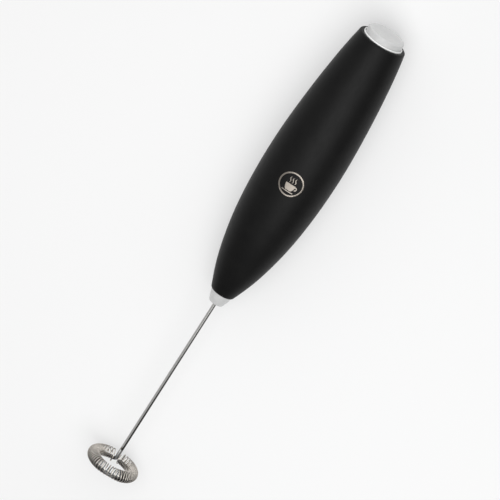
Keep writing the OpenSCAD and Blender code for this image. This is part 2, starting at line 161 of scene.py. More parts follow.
def cylinder(a, b, r, n=64, r2=None):
    """A closed cylinder between two points, for cutting or joining."""
    a, b = Vector(a), Vector(b)
    d = (b - a).normalized()
    side = d.orthogonal().normalized()
    up = d.cross(side)
    r2 = r if r2 is None else r2
    verts = [a + r * (math.cos(2 * math.pi * j / n) * side + math.sin(2 * math.pi * j / n) * up) for j in range(n)]
    verts += [b + r2 * (math.cos(2 * math.pi * j / n) * side + math.sin(2 * math.pi * j / n) * up) for j in range(n)]
    faces = [list(range(n - 1, -1, -1)), list(range(n, 2 * n))]
    faces += [[j, (j + 1) % n, n + (j + 1) % n, n + j] for j in range(n)]
    return make_object("cutter", verts, faces)


def box(a, b):
    (x0, y0, z0), (x1, y1, z1) = a, b
    verts = [(x, y, z) for x in (x0, x1) for y in (y0, y1) for z in (z0, z1)]
    faces = [(0, 1, 3, 2), (4, 6, 7, 5), (0, 4, 5, 1), (2, 3, 7, 6), (0, 2, 6, 4), (1, 5, 7, 3)]
    return make_object("cutter", verts, faces)


def fillet(points, radii, steps=5):
    """The open polyline with each corner rounded to its radius."""
    out = [points[0]]
    for i in range(1, len(points) - 1):
        r = radii.get(i, 0)
        p, a, c = Vector(points[i]), Vector(points[i - 1]), Vector(points[i + 1])
        if not r:
            out.append(tuple(p))
            continue
        u, v = (a - p).normalized(), (c - p).normalized()
        half = math.acos(max(-1, min(1, u.dot(v)))) / 2
        back = min(r / math.tan(half), 0.49 * (a - p).length, 0.49 * (c - p).length)
        rr = back * math.tan(half)
        centre = p + (u + v).normalized() * (rr / math.sin(half))
        s, e = p + u * back - centre, p + v * back - centre
        turn = s.angle(e)
        for k in range(steps + 1):
            t = k / steps
            q = (s * math.sin((1 - t) * turn) + e * math.sin(t * turn)) / math.sin(turn) if turn > 1e-6 else s
            out.append(tuple(centre + q))
    out.append(points[-1])
    return out


def resample(points, longest):
    out = [points[0]]
    for a, b in zip(points, points[1:]):
        n = max(1, math.ceil(math.dist(a, b) / longest))
        out += [(a[0] + (b[0] - a[0]) * k / n, a[1] + (b[1] - a[1]) * k / n) for k in range(1, n + 1)]
    return out


def lathe(name, loop, n=128):
    """A profile of (r, x) turned round the spin axis. r = 0 at an end closes it there; otherwise the loop closes on itself."""
    rows, verts, faces = [], [], []
    for r, x in loop:
        if r < 1e-6:
            rows.append([len(verts)] * n)
            verts.append((x, 0, 0))
        else:
            rows.append([len(verts) + j for j in range(n)])
            verts += [(x, r * math.sin(2 * math.pi * j / n), r * math.cos(2 * math.pi * j / n)) for j in range(n)]
    pairs = list(zip(rows, rows[1:]))
    if loop[0][0] > 1e-6:
        pairs.append((rows[-1], rows[0]))
    for a, b in pairs:
        for j in range(n):
            k = (j + 1) % n
            f = []
            for v in (a[j], a[k], b[k], b[j]):
                if v not in f:
                    f.append(v)
            if len(f) > 2:
                faces.append(f)
    ob = make_object(name, verts, faces)
    tidy(ob)
    return ob


def sweep(name, pts, radius, sides, extra=None):
    """A closed wire along the points. extra adds rounded ends of that many rings."""
    pts = [Vector(p) for p in pts]
    n = len(pts)
    radii = [radius] * n
    if extra:
        t0, t1 = (pts[0] - pts[1]).normalized(), (pts[-1] - pts[-2]).normalized()
        head, hr, tail, tr = [], [], [], []
        for k in range(1, extra + 1):
            a = math.pi / 2 * k / (extra + 0.35)
            head.append(pts[0] + t0 * radius * 0.6 * math.sin(a))
            tail.append(pts[-1] + t1 * radius * 0.6 * math.sin(a))
            hr.append(radius * math.cos(a))
            tr.append(radius * math.cos(a))
        pts = head[::-1] + pts + tail
        radii = hr[::-1] + radii + tr
        n = len(pts)
    verts, faces = [], []
    t_prev = (pts[1] - pts[0]).normalized()
    side = t_prev.orthogonal().normalized()
    for i in range(n):
        t = (pts[min(i + 1, n - 1)] - pts[max(i - 1, 0)]).normalized()
        axis = t_prev.cross(t)
        if axis.length > 1e-9:
            side = Matrix.Rotation(t_prev.angle(t), 3, axis.normalized()) @ side
        side = (side - side.dot(t) * t).normalized()
        up = t.cross(side)
        for j in range(sides):
            a = 2 * math.pi * j / sides
            verts.append(tuple(pts[i] + radii[i] * (math.cos(a) * side + math.sin(a) * up)))
        t_prev = t
    for i in range(n - 1):
        for j in range(sides):
            k = (j + 1) % sides
            faces.append((i * sides + j, i * sides + k, (i + 1) * sides + k, (i + 1) * sides + j))
    faces.append(tuple(range(sides - 1, -1, -1)))
    faces.append(tuple((n - 1) * sides + j for j in range(sides)))
    ob = make_object(name, verts, faces)
    tidy(ob)
    return ob


# ---------------------------------------------------------------- material tools
def material(name):
    m = bpy.data.materials.new(name)
    m.use_nodes = True
    nt = m.node_tree
    nt.nodes.clear()
    out = nt.nodes.new("ShaderNodeOutputMaterial")
    bsdf = nt.nodes.new("ShaderNodeBsdfPrincipled")
    nt.links.new(bsdf.outputs[0], out.inputs[0])
    coord = nt.nodes.new("ShaderNodeTexCoord")
    return m, nt, bsdf, coord.outputs["Object"]


def mapping(nt, vec, scale=(1, 1, 1), rot=(0, 0, 0), loc=(0, 0, 0)):
    n = nt.nodes.new("ShaderNodeMapping")
    n.inputs["Scale"].default_value = scale
    n.inputs["Rotation"].default_value = rot
    n.inputs["Location"].default_value = loc
    nt.links.new(vec, n.inputs["Vector"])
    return n.outputs[0]


def noise(nt, vec, scale, detail=2.0, rough=0.5):
    n = nt.nodes.new("ShaderNodeTexNoise")
    n.inputs["Scale"].default_value = scale
    n.inputs["Detail"].default_value = detail
    n.inputs["Roughness"].default_value = rough
    nt.links.new(vec, n.inputs["Vector"])
    return n.outputs["Fac"]


def voronoi(nt, vec, scale, feature="F1"):
    n = nt.nodes.new("ShaderNodeTexVoronoi")
    n.feature = feature
    n.inputs["Scale"].default_value = scale
    nt.links.new(vec, n.inputs["Vector"])
    return n.outputs["Distance"]


def ramp(nt, fac, stops):
    n = nt.nodes.new("ShaderNodeValToRGB")
    els = n.color_ramp.elements
    while len(els) < len(stops):
        els.new(0.5)
    for e, (p, c) in zip(els, stops):
        e.position = p
        e.color = (*c, 1) if len(c) == 3 else c
    nt.links.new(fac, n.inputs["Fac"])
    return n.outputs["Color"]


def span(nt, fac, lo, hi, a=0.0, b=1.0):
    n = nt.nodes.new("ShaderNodeMapRange")
    n.inputs["From Min"].default_value = a
    n.inputs["From Max"].default_value = b
    n.inputs["To Min"].default_value = lo
    n.inputs["To Max"].default_value = hi
    nt.links.new(fac, n.inputs["Value"])
    return n.outputs["Result"]


def math_node(nt, op, a, b=None):
    n = nt.nodes.new("ShaderNodeMath")
    n.operation = op
    for i, v in enumerate((a, b)):
        if v is None:
            continue
        if isinstance(v, (int, float)):
            n.inputs[i].default_value = v
        else:
            nt.links.new(v, n.inputs[i])
    return n.outputs[0]


def bump(nt, bsdf, height, strength, dist, normal=None):
    n = nt.nodes.new("ShaderNodeBump")
    n.inputs["Strength"].default_value = strength
    n.inputs["Distance"].default_value = dist
    nt.links.new(height, n.inputs["Height"])
    if normal is not None:
        nt.links.new(normal, n.inputs["Normal"])
    nt.links.new(n.outputs[0], bsdf.inputs["Normal"])
    return n.outputs[0]


def setp(bsdf, **kw):
    names = {"rough": "Roughness", "metal": "Metallic", "spec": "Specular IOR Level", "coat": "Coat Weight",
             "coat_rough": "Coat Roughness", "trans": "Transmission Weight", "ior": "IOR", "sss": "Subsurface Weight",
             "sss_r": "Subsurface Radius", "sss_s": "Subsurface Scale", "aniso": "Anisotropic", "color": "Base Color"}
    for k, v in kw.items():
        if k == "color":
            v = (*v, 1)
        bsdf.inputs[names[k]].default_value = v


def plastic(name, color, vary=0.06, rough=(0.38, 0.48), grain=9000, grain_depth=0.0000025, spec=0.5, mottle=140):
    """Moulded plastic: a fine spark-eroded grain, soft mottling and faint flow marks along the part."""
    m, nt, b, co = material(name)
    setp(b, spec=spec)
    soft = noise(nt, co, mottle, 3, 0.55)
    flow = noise(nt, mapping(nt, co, (60, 700, 700)), 1.0, 2, 0.5)
    mix = math_node(nt, "ADD", math_node(nt, "MULTIPLY", soft, 0.6), math_node(nt, "MULTIPLY", flow, 0.4))
    lo = tuple(c * (1 - vary) for c in color)
    hi = tuple(min(1, c * (1 + vary)) for c in color)
    nt.links.new(ramp(nt, mix, [(0.3, lo), (0.7, hi)]), b.inputs["Base Color"])
    nt.links.new(span(nt, noise(nt, co, mottle * 4, 4, 0.6), rough[0], rough[1], 0.3, 0.7), b.inputs["Roughness"])
    fine = noise(nt, co, grain, 2, 0.6)
    bump(nt, b, fine, 1.0, grain_depth)
    return m


def metal(name, color, rough=(0.2, 0.35), vary=0.08, along=(40, 4000, 4000), depth=0.0000012, aniso=0.0, tint=None, spots=900):
    """Worked metal: drawing or turning lines one way, with tarnish in soft patches."""
    m, nt, b, co = material(name)
    setp(b, metal=1.0, aniso=aniso)
    lines = noise(nt, mapping(nt, co, along), 1.0, 3, 0.6)
    patch = noise(nt, co, spots, 3, 0.6)
    lo = tuple(c * (1 - vary) for c in color) if tint is None else tint
    hi = tuple(min(1, c * (1 + vary)) for c in color)
    nt.links.new(ramp(nt, patch, [(0.32, lo), (0.62, color), (0.8, hi)]), b.inputs["Base Color"])
    nt.links.new(span(nt, math_node(nt, "ADD", math_node(nt, "MULTIPLY", lines, 0.6), math_node(nt, "MULTIPLY", patch, 0.4)),
                      rough[0], rough[1], 0.3, 0.7), b.inputs["Roughness"])
    bump(nt, b, lines, 1.0, depth)
    return m


# ---------------------------------------------------------------- materials
MATS = {}


def black_handle():
    m, nt, b, co = material("black_plastic")
    setp(b, spec=0.12)
    soft = noise(nt, co, 160, 3, 0.55)
    nt.links.new(ramp(nt, soft, [(0.3, (0.0050, 0.0050, 0.0051)), (0.7, (0.0066, 0.0066, 0.0065))]), b.inputs["Base Color"])
    scuff = noise(nt, mapping(nt, co, (300, 900, 900), (0.1, 0.05, 0.2)), 1.0, 5, 0.65)
    nt.links.new(span(nt, scuff, 0.44, 0.52, 0.3, 0.72), b.inputs["Roughness"])
    fine = noise(nt, co, 11000, 2, 0.6)
    cells = voronoi(nt, co, 5200)
    h = math_node(nt, "ADD", fine, math_node(nt, "MULTIPLY", cells, 0.5))
    bump(nt, b, h, 1.0, 0.0000022)
    return m


MATS["black_plastic"] = black_handle()
MATS["badge_ink"] = metal("badge_ink", (0.30, 0.27, 0.238), rough=(0.34, 0.46), vary=0.12, along=(3000, 3000, 3000), depth=0.000002, spots=1400)
MATS["bezel_plastic"] = plastic("bezel_plastic", (0.93, 0.935, 0.93), vary=0.02, rough=(0.18, 0.28), grain=7000, grain_depth=0.0000008)
MATS["bronze"] = metal("bronze", (0.55, 0.36, 0.16), rough=(0.4, 0.6), along=(3000, 3000, 3000), depth=0.000004)
MATS["brass"] = metal("brass", (0.72, 0.53, 0.22), rough=(0.2, 0.34), along=(6000, 60, 60))
MATS["chassis_plastic"] = plastic("chassis_plastic", (0.06, 0.06, 0.064), rough=(0.4, 0.55))
MATS["screw_steel"] = metal("screw_steel", (0.52, 0.53, 0.56), rough=(0.24, 0.4), along=(3500, 3500, 300))
MATS["spring_steel"] = metal("spring_steel", (0.62, 0.62, 0.63), rough=(0.18, 0.3), along=(2500, 2500, 2500))
MATS["contact_metal"] = metal("contact_metal", (0.72, 0.66, 0.5), rough=(0.22, 0.36), along=(1800, 120, 1800))
MATS["switch_plastic"] = plastic("switch_plastic", (0.028, 0.028, 0.029), rough=(0.42, 0.55))
MATS["plunger_plastic"] = plastic("plunger_plastic", (0.78, 0.76, 0.7), rough=(0.3, 0.42))
MATS["motor_steel"] = metal("motor_steel", (0.58, 0.585, 0.6), rough=(0.25, 0.42), along=(120, 2600, 2600))
MATS["end_cap_plastic"] = plastic("end_cap_plastic", (0.78, 0.75, 0.67), rough=(0.36, 0.5))
MATS["ferrite"] = plastic("ferrite", (0.05, 0.048, 0.047), vary=0.25, rough=(0.55, 0.75), grain=3000, grain_depth=0.000008)
MATS["shaft_steel"] = metal("shaft_steel", (0.66, 0.66, 0.68), rough=(0.12, 0.22), along=(5000, 80, 80))
MATS["lamination_steel"] = metal("lamination_steel", (0.34, 0.34, 0.35), rough=(0.35, 0.5), along=(9000, 60, 60), depth=0.000006)
MATS["black_rubber"] = plastic("black_rubber", (0.02, 0.02, 0.02), vary=0.15, rough=(0.6, 0.8), grain=2500, grain_depth=0.000006)
MATS["capacitor_epoxy"] = plastic("capacitor_epoxy", (0.55, 0.26, 0.07), rough=(0.22, 0.34), grain=2200)
MATS["red_insulation"] = plastic("red_insulation", (0.5, 0.03, 0.025), rough=(0.35, 0.48))
MATS["black_insulation"] = plastic("black_insulation", (0.018, 0.018, 0.018), rough=(0.35, 0.48))
MATS["grey_insulation"] = plastic("grey_insulation", (0.42, 0.42, 0.4), rough=(0.35, 0.48))


def cell_can():
    """A printed sleeve: green body, a copper band near the positive end and a fine shrink wrinkle."""
    m, nt, b, co = material("cell_can")
    setp(b, coat=0.4, coat_rough=0.15)
    sep = nt.nodes.new("ShaderNodeSeparateXYZ")
    nt.links.new(co, sep.inputs[0])
    # the cells point opposite ways, so the band follows the side of the middle that a cell is on
    way = math_node(nt, "MULTIPLY", sep.outputs["X"], math_node(nt, "SIGN", sep.outputs["Y"]))
    soft = noise(nt, co, 500, 3, 0.5)
    where = math_node(nt, "ADD", span(nt, way, 0.0, 1.0, -0.0253, 0.0253), math_node(nt, "MULTIPLY", soft, 0.002))
    nt.links.new(ramp(nt, where, [(0.0, (0.40, 0.41, 0.42)), (0.012, (0.035, 0.13, 0.08)), (0.70, (0.045, 0.16, 0.095)),
                                  (0.702, (0.62, 0.36, 0.18)), (0.965, (0.68, 0.40, 0.2)), (0.975, (0.55, 0.56, 0.58))]),
                 b.inputs["Base Color"])
    nt.links.new(ramp(nt, where, [(0.0, (1, 1, 1)), (0.012, (0.25, 0.25, 0.25)), (0.70, (0.25, 0.25, 0.25)), (0.702, (0.8, 0.8, 0.8)), (1.0, (1, 1, 1))]),
                 b.inputs["Metallic"])
    nt.links.new(span(nt, soft, 0.26, 0.4, 0.3, 0.7), b.inputs["Roughness"])
    bump(nt, b, noise(nt, mapping(nt, co, (200, 1600, 1600)), 1.0, 3), 1.0, 0.000003)
    return m


MATS["cell_can"] = cell_can()


def copper():
    """Enamelled wire laid side by side."""
    m, nt, b, co = material("copper")
    setp(b, metal=1.0, coat=0.5, coat_rough=0.12)
    soft = noise(nt, co, 900, 3, 0.5)
    nt.links.new(ramp(nt, soft, [(0.3, (0.50, 0.22, 0.08)), (0.7, (0.68, 0.34, 0.14))]), b.inputs["Base Color"])
    w = nt.nodes.new("ShaderNodeTexWave")
    w.wave_type = "BANDS"
    w.bands_direction = "X"
    w.inputs["Scale"].default_value = 900
    w.inputs["Distortion"].default_value = 1.5
    w.inputs["Detail"].default_value = 2
    nt.links.new(co, w.inputs["Vector"])
    nt.links.new(span(nt, w.outputs["Fac"], 0.22, 0.4), b.inputs["Roughness"])
    bump(nt, b, w.outputs["Fac"], 1.0, 0.00002)
    return m


MATS["copper"] = copper()


def milky():
    """The button: translucent moulded plastic, faintly cloudy."""
    m, nt, b, co = material("button_plastic")
    setp(b, spec=0.4, sss=0.35, sss_r=(1.0, 1.0, 1.0), sss_s=0.0012)
    cloud = noise(nt, co, 420, 4, 0.6)
    nt.links.new(ramp(nt, cloud, [(0.3, (0.50, 0.505, 0.505)), (0.7, (0.555, 0.555, 0.55))]), b.inputs["Base Color"])
    nt.links.new(span(nt, noise(nt, co, 1500, 3), 0.32, 0.42, 0.3, 0.7), b.inputs["Roughness"])
    bump(nt, b, noise(nt, co, 8000, 2), 1.0, 0.0000015)
    return m


MATS["button_plastic"] = milky()


def nose_plastic():
    m, nt, b, co = material("nose_plastic")
    setp(b, spec=0.5, coat=0.25, coat_rough=0.2)
    soft = noise(nt, co, 500, 3, 0.5)
    nt.links.new(ramp(nt, soft, [(0.3, (0.55, 0.555, 0.555)), (0.7, (0.61, 0.61, 0.605))]), b.inputs["Base Color"])
    turned = noise(nt, mapping(nt, co, (5000, 300, 300)), 1.0, 2)
    nt.links.new(span(nt, turned, 0.26, 0.36, 0.3, 0.7), b.inputs["Roughness"])
    bump(nt, b, turned, 1.0, 0.000001)
    return m


MATS["nose_plastic"] = nose_plastic()


def stem_steel():
    """Drawn stainless wire: lines along the wire and a faint straw tint."""
    m, nt, b, co = material("stainless")
    setp(b, metal=1.0)
    lines = noise(nt, mapping(nt, co, (45, 9000, 9000)), 1.0, 3, 0.65)
    patch = noise(nt, co, 700, 3, 0.6)
    bright = ramp(nt, patch, [(0.3, (0.56, 0.555, 0.54)), (0.7, (0.66, 0.655, 0.64))])
    # a painted dark reflection runs down one side as a streak, stronger towards the ring, and the core hidden inside
    # the coil gets painted shade all round
    sep = nt.nodes.new("ShaderNodeSeparateXYZ")
    nt.links.new(co, sep.inputs[0])
    wander = math_node(nt, "MULTIPLY", math_node(nt, "SUBTRACT", noise(nt, mapping(nt, co, (60, 60, 60)), 1.0, 2), 0.5), 0.0001)
    # mask of the painted dark reflection down the +Y side of the wire
    dark_reflection_paint = span(nt, math_node(nt, "ADD", sep.outputs["Y"], wander), 0.0, 1.0, -0.00002, 0.00014)
    dark_reflection_paint = math_node(nt, "MULTIPLY", dark_reflection_paint, span(nt, sep.outputs["Y"], 1.0, 0.0, 0.00070, 0.00086))
    dark_reflection_paint = math_node(nt, "MULTIPLY", dark_reflection_paint, span(nt, sep.outputs["X"], 0.72, 0.97, 0.08, 0.14))
    # mask of the painted shade on the core wire inside the coil
    core_shade_paint = span(nt, sep.outputs["X"], 0.0, 0.82, 0.1585, 0.1625)
    # mixes near-black into the steel for the painted reflection and the painted shade
    painted_shade_mix = nt.nodes.new("ShaderNodeMix")
    painted_shade_mix.data_type = "RGBA"
    nt.links.new(math_node(nt, "MAXIMUM", dark_reflection_paint, core_shade_paint), painted_shade_mix.inputs[0])
    nt.links.new(bright, painted_shade_mix.inputs[6])
    painted_shade_mix.inputs[7].default_value = (0.03, 0.029, 0.027, 1)
    nt.links.new(painted_shade_mix.outputs[2], b.inputs["Base Color"])
    nt.links.new(span(nt, lines, 0.05, 0.13, 0.3, 0.7), b.inputs["Roughness"])
    bump(nt, b, lines, 1.0, 0.0000008)
    return m


def coil_wire():
    """Bright drawn wire, a little warm, with tone in soft patches and painted shade on the side of each turn that faces
    into the coil.
    """
    m, nt, b, co = material("coil_steel")
    setp(b, metal=1.0)
    patch = noise(nt, co, 1300, 3, 0.6)
    bright = ramp(nt, patch, [(0.3, (0.68, 0.63, 0.57)), (0.7, (0.93, 0.88, 0.81))])
    # painted shade: the side of the wire that faces into the coil is painted dark
    face = nt.nodes.new("ShaderNodeAttribute")
    face.attribute_name = "outward"
    shadow = nt.nodes.new("ShaderNodeMix")
    shadow.data_type = "RGBA"
    nt.links.new(span(nt, face.outputs["Fac"], 0.0, 1.0, 0.66, 0.97), shadow.inputs[0])
    shadow.inputs[6].default_value = (0.035, 0.032, 0.028, 1)
    nt.links.new(bright, shadow.inputs[7])
    nt.links.new(shadow.outputs[2], b.inputs["Base Color"])
    nt.links.new(span(nt, noise(nt, co, 5000, 3, 0.6), 0.1, 0.22, 0.3, 0.7), b.inputs["Roughness"])
    bump(nt, b, noise(nt, co, 9000, 2), 1.0, 0.0000012)
    return m


MATS["stainless"] = stem_steel()
MATS["coil_steel"] = coil_wire()

SLOT_OF = {s["node"]: s["material_slot"] for s in frame["record"]["subparts"]}
for node, ob in frame["nodes"].items():
    ob.data.materials.clear()
    ob.data.materials.append(MATS[SLOT_OF[node]])


def finish_piece(ob, body, *nodes, slot=None):
    slot = slot or SLOT_OF[nodes[0]]
    if not ob.data.materials:
        ob.data.materials.append(MATS[slot])
    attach(ob, body)
    if nodes:
        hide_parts(*nodes)
    return ob


# ---------------------------------------------------------------- shells
def stations(x0, x1, step):
    n = max(1, round((x1 - x0) / step))
    return [x0 + (x1 - x0) * i / n for i in range(n + 1)]


def seam_angle(r, drop):
    return math.acos(-drop / r)


def half_shell(name, x0, x1, drop, step=1.1, cols=72):
    """The back part of the shell below a seam: outer and inner skins, joined by four walls."""
    xs = stations(x0, x1, step)
    verts, faces = [], []

    def skin(radius):
        rows = []
        for x in xs:
            r = radius(x)
            a0 = seam_angle(r, drop)
            row = []
            for j in range(cols + 1):
                a = a0 + (2 * math.pi - 2 * a0) * j / cols
                row.append(len(verts))
                verts.append((x, r * math.sin(a), r * math.cos(a)))
            rows.append(row)
        return rows

    outer = skin(body_r)
    inner = skin(lambda x: inner_r(min(x, 63.6)))
    for rows, flip in ((outer, False), (inner, True)):
        for a, b in zip(rows, rows[1:]):
            for j in range(cols):
                f = (a[j], a[j + 1], b[j + 1], b[j])
                faces.append(f[::-1] if flip else f)
    for j in (0, cols):
        for i in range(len(xs) - 1):
            faces.append((outer[i][j], outer[i + 1][j], inner[i + 1][j], inner[i][j]))
    for i in (0, len(xs) - 1):
        for j in range(cols):
            faces.append((outer[i][j], outer[i][j + 1], inner[i][j + 1], inner[i][j]))
    ob = make_object(name, verts, faces)
    tidy(ob)
    return ob


def front_shell(name, drop=SEAM, win=(-57.5, 64.6), step=1.1, front=96, back=64):
    """The front part of the shell, which also holds the mouth and the nose: a closed section turned round the axis, with the back left open between the two window ends."""
    lip = [(MOUTH_R, -61.8), (MOUTH_R, TOP_X + 0.25), (MOUTH_R + 0.09, TOP_X + 0.09), (MOUTH_R + 0.25, TOP_X)]
    rl = body_r(TOP_X + LIP_R)
    lip += [(rl - LIP_R + LIP_R * math.sin(math.radians(a)), TOP_X + LIP_R - LIP_R * math.cos(math.radians(a))) for a in range(0, 90, 10)]
    outer = [(body_r(x), x) for x in stations(TOP_X + LIP_R + 0.4, win[0], 0.9)]
    mid = stations(win[0], win[1], step)
    outer += [(body_r(x), x) for x in mid[1:]]
    outer += [(body_r(x), x) for x in stations(win[1], END_X - 0.4, 0.7)[1:]]
    nose = [(body_r(END_X) - 0.03, END_X - 0.25), (body_r(END_X) - 0.12, END_X - 0.1), (body_r(END_X) - 0.24, END_X - 0.02),
            (body_r(END_X) - 0.35, END_X), (NOSE_R + 0.05, END_X), (NOSE_R + 0.05, 65.4), (inner_r(63.6), 65.4)]
    inside = [(inner_r(min(x, 63.6)), x) for x in mid[::-1]]
    inside += [(inner_r(x), x) for x in stations(-61.2, win[0], 1.2)[-2::-1]] + [(inner_r(-61.2), -61.8)]
    loop = lip + outer + nose + inside
    n = len(loop)
    verts, rows = [], []
    for r, x in loop:
        a0 = seam_angle(r, drop)
        row = []
        for j in range(front):
            a = -a0 + 2 * a0 * j / front
            row.append(len(verts))
            verts.append((x, r * math.sin(a), r * math.cos(a)))
        for j in range(back):
            a = a0 + (2 * math.pi - 2 * a0) * j / back
            row.append(len(verts))
            verts.append((x, r * math.sin(a), r * math.cos(a)))
        rows.append(row)
    m = front + back
    in_window = lambda i: win[0] - 1e-6 < loop[i][1] < win[1] + 1e-6
    faces, out_i, in_i = [], {}, {}
    for i in range(n):
        k = (i + 1) % n
        both = in_window(i) and in_window(k)
        for j in range(m):
            if both and j >= front:
                continue
            faces.append((rows[i][j], rows[i][(j + 1) % m], rows[k][(j + 1) % m], rows[k][j]))
    outs = [i for i in range(len(lip), len(lip) + len(outer)) if in_window(i)]
    ins = [i for i in range(len(lip) + len(outer) + len(nose), n) if in_window(i)][::-1]
    assert len(outs) == len(ins)
    for j in (0, front):
        for a, b, c, d in zip(outs, outs[1:], ins, ins[1:]):
            faces.append((rows[a][j], rows[b][j], rows[d][j], rows[c][j]))
    for a, c in ((outs[0], ins[0]), (outs[-1], ins[-1])):
        for j in range(front, m):
            faces.append((rows[a][j], rows[a][(j + 1) % m], rows[c][(j + 1) % m], rows[c][j]))
    ob = make_object(name, verts, faces)
    tidy(ob)
    return ob


def soften(ob, width, keep, steps=2, angle=50):
    """Rounds the hard edges that keep(edge middle in mm from the axis) chooses."""
    bm = bmesh.new()
    bm.from_mesh(ob.data)
    edges = []
    for e in bm.edges:
        if len(e.link_faces) == 2 and e.calc_face_angle(0) > math.radians(angle):
            p = (e.verts[0].co + e.verts[1].co) / 2 / MM
            if keep(p.x, p.y, p.z - AXIS_Z):
                edges.append(e)
    bmesh.ops.bevel(bm, geom=edges, offset=width * MM, offset_type="OFFSET", segments=steps, profile=0.5, affect="EDGES", clamp_overlap=True)
    bmesh.ops.recalc_face_normals(bm, faces=bm.faces)
    bm.to_mesh(ob.data)
    bm.free()
    ob.data.update()


def cut_flat(ob):
    """The small flat on the back that the handle lies on."""
    bm = bmesh.new()
    bm.from_mesh(ob.data)
    got = bmesh.ops.bisect_plane(bm, geom=bm.verts[:] + bm.edges[:] + bm.faces[:], plane_co=(0, 0, 0), plane_no=(0, 0, 1), clear_inner=True, dist=1e-9)
    rim = [g for g in got["geom_cut"] if isinstance(g, bmesh.types.BMEdge)]
    if rim:
        fill = bmesh.ops.contextual_create(bm, geom=rim)
        bmesh.ops.triangulate(bm, faces=fill["faces"])
    bmesh.ops.recalc_face_normals(bm, faces=bm.faces)
    bm.to_mesh(ob.data)
    bm.free()
    ob.data.update()


def true_normals(ob, smooth=30):
    """Smooth shading whose normals on the barrel are those of the exact curve."""
    shade(ob, smooth)
    me = ob.data
    me.update()
    normals = [None] * len(me.loops)
    corner = me.corner_normals
    for p in me.polygons:
        for li in p.loop_indices:
            v = me.vertices[me.loops[li].vertex_index].co / MM
            y, z = v.y, v.z - AXIS_Z
            r = math.hypot(y, z)
            nrm = corner[li].vector.copy()
            if TOP_X + LIP_R + 0.3 < v.x < END_X - 0.5 and r > 5:
                for off, sgn in ((0, 1), (WALL, -1)):
                    if abs(r - (body_r(v.x) - off)) < 0.012:
                        slope = (body_r(v.x + 0.05) - body_r(v.x - 0.05)) / 0.1
                        t = Vector((-slope, y / r, z / r)).normalized() * sgn
                        if t.dot(p.normal) > 0.97:
                            nrm = t
            normals[li] = nrm
    me.normals_split_custom_set(normals)
    me.update()


def badge_patch(r, top, bottom, rings, n, cx=6.2):
    """A round slab bent over the barrel: top and bottom are heights above its surface."""
    verts, faces = [], []

    def lift(px, py, h):
        rr = body_r(px) + h
        return (px, py, math.sqrt(rr * rr - py * py))

    def cap(h):
        rows = [[len(verts)] * n]
        verts.append(lift(cx, 0, h))
        for k in range(1, rings + 1):
            row = []
            for j in range(n):
                a = 2 * math.pi * j / n
                row.append(len(verts))
                verts.append(lift(cx + r * k / rings * math.cos(a), r * k / rings * math.sin(a), h))
            rows.append(row)
        for a, b in zip(rows, rows[1:]):
            for j in range(n):
                q = (j + 1) % n
                f = []
                for v in (a[j], a[q], b[q], b[j]):
                    if v not in f:
                        f.append(v)
                faces.append(f)
        return rows[-1]

    a, b = cap(top), cap(bottom)
    for j in range(n):
        q = (j + 1) % n
        faces.append((a[j], a[q], b[q], b[j]))
    return verts, faces


def build_front():
    ob = front_shell("front_housing_shell")
    soften(ob, 0.12, lambda x, y, z: x > END_X - 0.5 and math.hypot(y, z) < 6)
    soften(ob, 0.14, lambda x, y, z: -58 < x < 65 and z < -2.5 and math.hypot(y, z) > body_r(x) - 0.3)
    for y in (-4.2, 4.2):
        boolean(ob, cylinder((-40, y, 9.55), (-40, y, 11.95), 2.2), "UNION")
    for y in (-4.2, 4.2):
        boolean(ob, cylinder((-40, y, 9), (-40, y, 11.7), 0.95, 48), "DIFFERENCE")
    for y in (-7.3, 7.3):
        boolean(ob, cylinder((-25.75, y, 0), (25.75, y, 0), 7.35, 128), "DIFFERENCE")
    cutter = make_object("cutter", *badge_patch(5.78, 1.0, -0.4, 8, 96))
    tidy(cutter)
    boolean(ob, cutter, "DIFFERENCE")
    tidy(ob, 0.0005)
    true_normals(ob)
    return finish_piece(ob, "handle", "front_housing")


def build_battery_cover():
    ob = half_shell("battery_cover_shell", -57, 30, SEAM_COVER, 1.0)
    soften(ob, 0.16, lambda x, y, z: math.hypot(y, z) > body_r(x) - 0.3)
    cut_flat(ob)
    boolean(ob, cylinder((-59.2, 0, -14.5), (-59.2, 0, -8.5), 4.2, 96), "DIFFERENCE")
    for x in (-16, 14):
        rib = cylinder((x, 0, 0), (x + 1.2, 0, 0), body_r(x) - WALL / 2, 160)
        boolean(rib, box((x - 1, -10, -20), (x + 2, 10, -7.7)), "INTERSECT")
        boolean(ob, rib, "UNION")
    for y in (-9, 5):
        tab = box((27.2, y, -14.6), (32.6, y + 4, -9.4))
        boolean(tab, box((29.6, y - 1, -15), (33, y + 5, -10.3)), "DIFFERENCE")
        limit = lathe("cutter", [(0, 26)] + [(body_r(x) - (WALL / 2 if x < 29.8 else WALL + 0.12), x) for x in (26, 27.5, 29.79, 29.81, 31, 33, 34)] + [(0, 34)], 160)
        boolean(tab, limit, "INTERSECT")
        boolean(ob, tab, "UNION")
    tidy(ob, 0.0005)
    true_normals(ob)
    me = ob.data
    flat = set()
    for p in me.polygons:
        if p.normal.z < -0.99999 and abs(p.center.z) < 2e-6:
            flat |= set(p.edge_keys)
    other = set()
    for p in me.polygons:
        if not (p.normal.z < -0.99999 and abs(p.center.z) < 2e-6):
            other |= set(p.edge_keys)
    rim = flat & other
    for e in me.edges:
        if tuple(e.key) in rim:
            e.use_edge_sharp = True
    return finish_piece(ob, "cover", "battery_cover")


